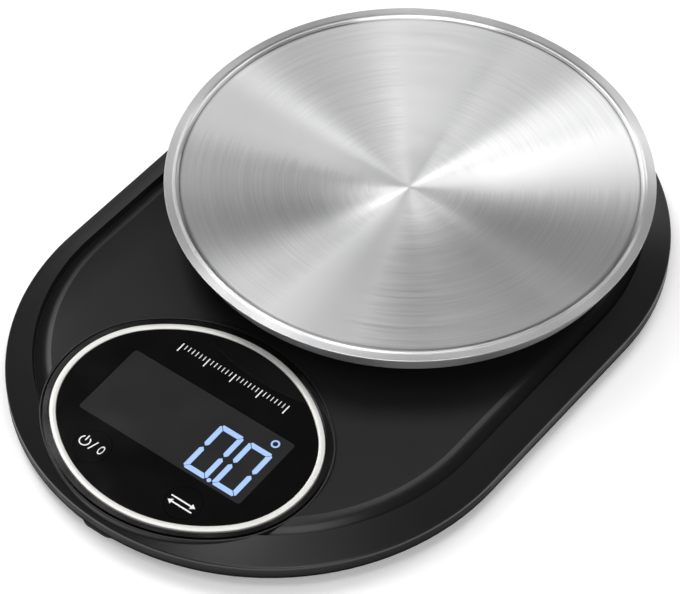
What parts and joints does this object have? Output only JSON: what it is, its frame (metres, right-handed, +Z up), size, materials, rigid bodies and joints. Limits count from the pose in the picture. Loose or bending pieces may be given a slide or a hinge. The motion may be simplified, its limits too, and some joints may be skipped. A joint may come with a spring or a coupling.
{
  "type": "digital kitchen scale",
  "caption": "Low stadium-shaped kitchen scale with a round steel weighing plate on a load cell, an oval lit display, two sprung keys and a hinged battery door underneath",
  "frame": {"origin": "centre of the bounding box in plan, on the plane of the feet's lower faces", "axes": "+Z up; +Y runs along the long axis from the display to the weighing plate; +X points to the user's right when reading the display"},
  "size_m": [0.1696, 0.2424, 0.0336],
  "materials": {
    "housing_black": "fine satin black ABS",
    "dark_screw": "black zinc",
    "foot_rubber": "matt black rubber",
    "cell_aluminium": "milled",
    "white_silicone": "soft white coating",
    "plated_screw": "nickel plated",
    "lead_grey": "grey sleeve",
    "white_foam": "foam tape",
    "plate_steel": "circular brushed stainless steel",
    "cell_can": "nickel plated can",
    "contact_metal": "plated spring brass",
    "lead_red": "red sleeve",
    "lead_black": "black sleeve",
    "bezel_black": "satin dark plastic",
    "ring_silver": "silver plated ring",
    "lens_black": "polished black acrylic",
    "window_smoke": "smoked acrylic",
    "digit_blue": "lit light blue",
    "lcd_grey": "liquid crystal glass",
    "diffuser_white": "milky light guide",
    "strip_rubber": "striped conductive rubber",
    "board_green": "green solder mask",
    "epoxy_black": "black epoxy",
    "capacitor_tan": "ceramic",
    "socket_nylon": "natural nylon",
    "plunger_red": "moulded"
  },
  "bodies": {
    "base": {"lower_housing": "housing_black", "upper_housing": "housing_black", "housing_screws": "dark_screw", "rubber_feet": "foot_rubber", "load_cell": "cell_aluminium", "gauge_coating": "white_silicone", "cell_screws": "plated_screw", "load_cell_lead": "lead_grey", "coin_cell": "cell_can", "positive_contact": "contact_metal", "negative_contact": "contact_metal", "red_lead": "lead_red", "black_lead": "lead_black", "display_frame": "bezel_black", "display_ring": "ring_silver", "display_lens": "lens_black", "display_window": "window_smoke", "lit_digits": "digit_blue", "lcd_glass": "lcd_grey", "backlight": "diffuser_white", "contact_strip": "strip_rubber", "circuit_board": "board_green", "chip_cover": "epoxy_black", "converter_chip": "epoxy_black", "capacitors": "capacitor_tan", "lead_sockets": "socket_nylon", "board_screws": "plated_screw", "power_switch": "epoxy_black", "unit_switch": "epoxy_black"},
    "platform": {"platform_tray": "housing_black", "platform_screws": "plated_screw", "plate_tape": "white_foam", "weighing_plate": "plate_steel"},
    "power_button": {"power_key": "lens_black", "power_plunger": "plunger_red"},
    "unit_button": {"unit_key": "lens_black", "unit_plunger": "plunger_red"},
    "door": {"battery_door": "housing_black"}
  },
  "joints": [
    {"name": "platform_press", "type": "slide", "parent": "base", "child": "platform", "axis": [0, 0, 1], "range_m": [-0.0005, 0], "stiffness_N_per_m": 60000, "springref_m": 0.00004, "deforming": ["load_cell"]},
    {"name": "power_press", "type": "slide", "parent": "base", "child": "power_button", "axis": [0, -0.0523, 0.9986], "range_m": [-0.00025, 0], "stiffness_N_per_m": 3000, "springref_m": 0.0001},
    {"name": "unit_press", "type": "slide", "parent": "base", "child": "unit_button", "axis": [0, -0.0523, 0.9986], "range_m": [-0.00025, 0], "stiffness_N_per_m": 3000, "springref_m": 0.0001},
    {"name": "door_hinge", "type": "hinge", "parent": "base", "child": "door", "pos_m": [0.034, -0.0239, 0.0033], "axis": [-1, 0, 0], "range_deg": [0, 90]}
  ]
}
